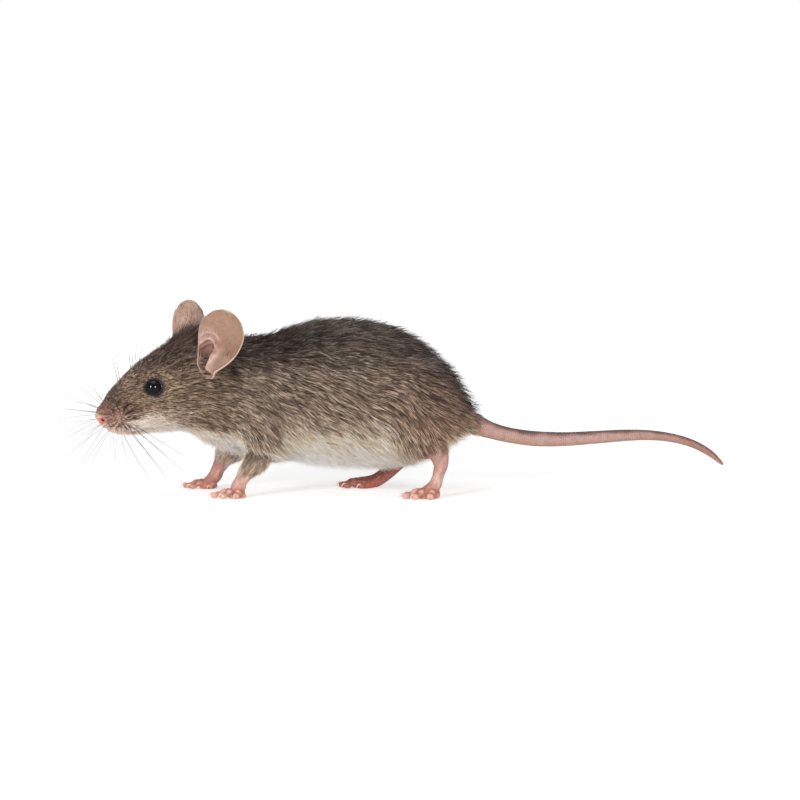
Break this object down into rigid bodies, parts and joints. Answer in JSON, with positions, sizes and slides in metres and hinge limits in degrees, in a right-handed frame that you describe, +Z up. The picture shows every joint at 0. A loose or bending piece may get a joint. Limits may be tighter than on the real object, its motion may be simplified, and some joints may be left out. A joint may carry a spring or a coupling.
{
  "type": "live grey mouse",
  "caption": "Life-size still model of a grey house mouse walking on a level floor, head turned slightly to its left, tail held off the floor.",
  "frame": {"origin": "on the floor, under the middle of the outline in plan", "axes": "-X towards the head, +X towards the tail, -Y the animal's left side, +Z up"},
  "size_m": [0.1348, 0.029, 0.0411],
  "materials": {
    "coat": "short dense fur, dark grey-brown above, cream white below",
    "bare_skin": "matte pink-brown skin with fine folds and scale rings",
    "eye": "wet black gloss"
  },
  "bodies": {
    "root": {"nose": "bare_skin", "head": "coat", "neck": "coat", "trunk": "coat", "eye_left": "eye", "eye_right": "eye", "ear_left": "bare_skin", "ear_right": "bare_skin", "leg_fore_left": "coat", "leg_fore_right": "coat", "leg_hind_left": "coat", "leg_hind_right": "coat", "foot_fore_left": "bare_skin", "foot_fore_right": "bare_skin", "foot_hind_left": "bare_skin", "foot_hind_right": "bare_skin", "tail_root": "bare_skin", "tail_middle": "bare_skin", "tail_tip": "bare_skin"}
  },
  "joints": []
}
